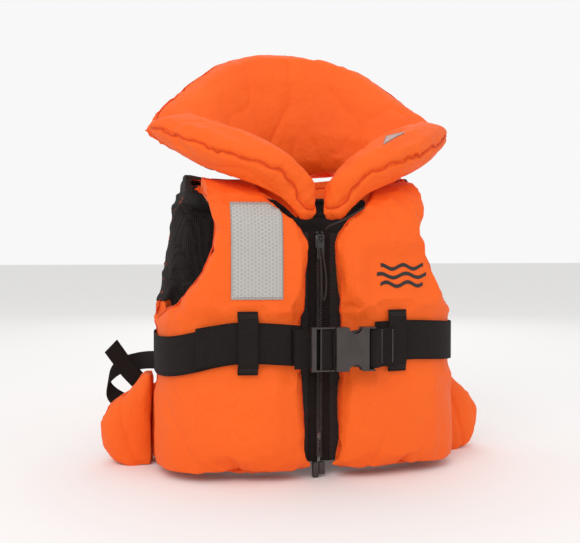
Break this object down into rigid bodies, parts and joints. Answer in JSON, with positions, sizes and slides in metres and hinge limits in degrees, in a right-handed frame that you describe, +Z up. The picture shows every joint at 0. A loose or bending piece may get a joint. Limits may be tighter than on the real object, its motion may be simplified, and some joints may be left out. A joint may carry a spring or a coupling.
{
  "type": "life jacket",
  "caption": "Child's foam life jacket with a padded head-support collar, front zip, waist belt with a side-release buckle, and hip pads.",
  "frame": {"origin": "centre of the jacket's bounding box in plan, at the level it stands on", "axes": "+Z up towards the collar, -Y out of the fronts with the zip, +X towards the wearer's left"},
  "size_m": [0.436, 0.2278, 0.4696],
  "materials": {
    "cover": "woven polyester cloth, slightly glossy",
    "foam": "closed-cell polyethylene foam",
    "lining": "black woven nylon",
    "webbing": "woven polypropylene webbing",
    "zip_tape": "woven polyester tape",
    "zip_plastic": "nylon",
    "zip_metal": "black enamelled zinc",
    "buckle_plastic": "moulded acetal, satin",
    "reflective_tape": "retroreflective tape with hexagonal cells",
    "emblem_print": "raised black transfer print",
    "label": "satin ribbon",
    "cord": "braided polyester cord"
  },
  "bodies": {
    "root": {"back_cover": "cover", "back_foam": "foam", "back_lining": "lining", "collar_back_cover": "cover", "collar_back_foam": "foam", "hip_right_cover": "cover", "hip_right_foam": "foam", "hip_left_cover": "cover", "hip_left_foam": "foam", "belt_loop_back_right": "webbing", "belt_loop_back_left": "webbing", "belt_back": "webbing", "size_label": "label", "crotch_strap": "webbing", "side_strap": "webbing"},
    "front_right": {"front_right_cover": "cover", "front_right_foam": "foam", "front_right_lining": "lining", "collar_right_cover": "cover", "collar_right_foam": "foam", "belt_loop_front_right": "webbing", "zip_tape_right": "zip_tape", "zip_coil_right": "zip_plastic", "zip_top_stop_right": "zip_metal", "zip_box": "zip_plastic", "belt_right": "webbing", "belt_right_tail": "webbing", "chest_patch": "reflective_tape"},
    "front_left": {"front_left_cover": "cover", "front_left_foam": "foam", "front_left_lining": "lining", "collar_left_cover": "cover", "collar_left_foam": "foam", "belt_loop_front_left": "webbing", "zip_tape_left": "zip_tape", "zip_coil_left": "zip_plastic", "zip_top_stop_left": "zip_metal", "zip_pin": "zip_plastic", "belt_left": "webbing", "buckle_female": "buckle_plastic", "chest_emblem": "emblem_print", "collar_patch": "reflective_tape", "lanyard": "cord"},
    "zip_slider": {"zip_slider": "zip_metal"},
    "zip_pull": {"zip_pull": "zip_metal", "zip_pull_loop": "webbing"},
    "buckle_male": {"buckle_male": "buckle_plastic", "buckle_webbing": "webbing"},
    "prong_upper": {"prong_upper": "buckle_plastic"},
    "prong_lower": {"prong_lower": "buckle_plastic"}
  },
  "joints": [
    {"name": "right_front_open", "type": "hinge", "parent": "root", "child": "front_right", "pos_m": [-0.171, 0.00512, 0.15], "axis": [0, 0, -1], "range_deg": [0, 60], "deforming": ["prong_upper", "prong_lower"]},
    {"name": "left_front_open", "type": "hinge", "parent": "root", "child": "front_left", "pos_m": [0.171, 0.00512, 0.15], "axis": [0, 0, 1], "range_deg": [0, 60], "deforming": ["prong_upper", "prong_lower"]},
    {"name": "zip_slider_travel", "type": "slide", "parent": "front_right", "child": "zip_slider", "axis": [0, 0, -1], "range_m": [0, 0.205]},
    {"name": "zip_pull_flip", "type": "hinge", "parent": "zip_slider", "child": "zip_pull", "pos_m": [0, -0.08083, 0.2443], "axis": [-1, 0, 0], "range_deg": [0, 110]},
    {"name": "buckle_release", "type": "slide", "parent": "front_right", "child": "buckle_male", "axis": [-1, 0, 0], "range_m": [0, 0.028]},
    {"name": "prong_upper_flex", "type": "hinge", "parent": "buckle_male", "child": "prong_upper", "pos_m": [0.0094, -0.10538, 0.143], "axis": [0, 1, 0], "range_deg": [0, 11]},
    {"name": "prong_lower_flex", "type": "hinge", "parent": "buckle_male", "child": "prong_lower", "pos_m": [0.0094, -0.10538, 0.123], "axis": [0, -1, 0], "range_deg": [0, 11]}
  ],
  "couplings": [
    {"joint": "left_front_open", "follows": "right_front_open", "ratio": 1},
    {"joint": "prong_upper_flex", "follows": "buckle_release", "rad_per_m": 6.4},
    {"joint": "prong_lower_flex", "follows": "buckle_release", "rad_per_m": 6.4}
  ]
}
